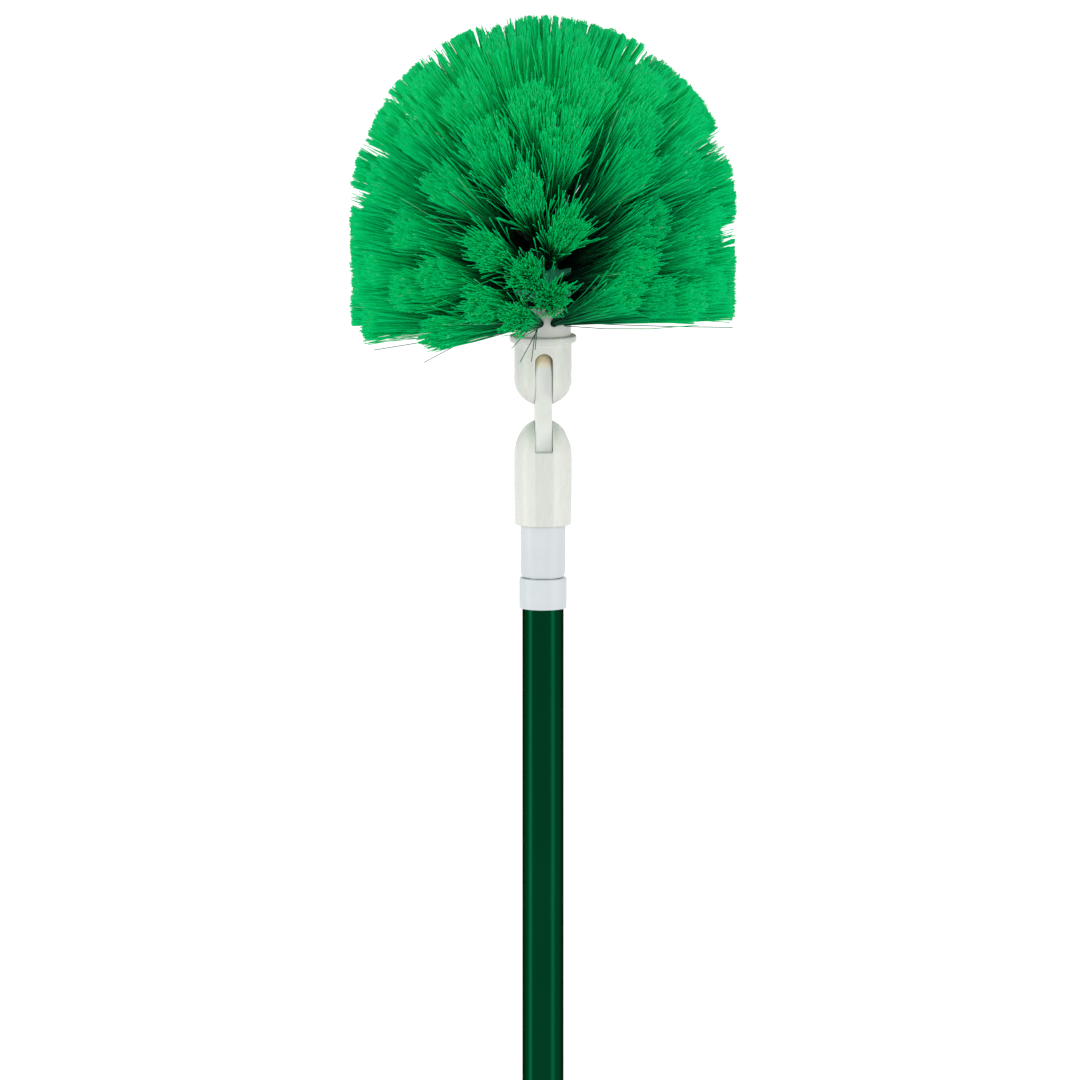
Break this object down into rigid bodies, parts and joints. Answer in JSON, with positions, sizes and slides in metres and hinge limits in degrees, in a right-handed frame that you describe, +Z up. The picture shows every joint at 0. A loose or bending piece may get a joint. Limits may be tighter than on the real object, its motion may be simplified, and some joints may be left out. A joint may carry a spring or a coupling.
{
  "type": "swivel duster",
  "caption": "Domed bristle duster head on a double-hinged swivel, screwed onto a twist-locking extending pole with a hanging hole in its end cap.",
  "frame": {"origin": "middle of the flat bottom of the pole's end cap", "axes": "+Z up the pole to the brush, both hinges turn about X, the pictured front faces -Y"},
  "size_m": [0.2086, 0.2086, 1.009],
  "materials": {
    "green_tube": "glossy dark green enamel",
    "bare_tube": "plain drawn tube",
    "white_plastic": "satin moulded",
    "cream_plastic": "satin moulded",
    "dark_plastic": "matt moulded",
    "steel": "turned",
    "green_bristle": "drawn filament"
  },
  "bodies": {
    "outer_pole": {"end_cap": "white_plastic", "outer_tube": "green_tube", "guide_collar": "white_plastic"},
    "lock_cam": {"lock_cam": "dark_plastic"},
    "inner_pole": {"inner_tube": "bare_tube", "lock_plug": "dark_plastic", "pole_tip": "white_plastic", "lower_fork": "cream_plastic", "lower_pivot_pin": "steel"},
    "swivel_link": {"swivel_link": "cream_plastic"},
    "brush_head": {"upper_fork": "cream_plastic", "upper_pivot_pin": "steel", "block_screw": "steel", "brush_block": "cream_plastic", "bristles_bottom": "green_bristle", "bristles_lower": "green_bristle", "bristles_upper": "green_bristle", "bristles_crown": "green_bristle"}
  },
  "joints": [
    {"name": "pole_extend", "type": "slide", "parent": "outer_pole", "child": "lock_cam", "axis": [0, 0, 1], "range_m": [0, 0.59]},
    {"name": "pole_twist", "type": "hinge", "parent": "lock_cam", "child": "inner_pole", "pos_m": [0, 0, 0.065], "axis": [0, 0, 1], "range_deg": [-30, 30]},
    {"name": "lower_pivot", "type": "hinge", "parent": "inner_pole", "child": "swivel_link", "pos_m": [0, 0, 0.782], "axis": [1, 0, 0], "range_deg": [-50, 50]},
    {"name": "upper_pivot", "type": "hinge", "parent": "swivel_link", "child": "brush_head", "pos_m": [0, 0, 0.816], "axis": [1, 0, 0], "range_deg": [-50, 50]}
  ]
}
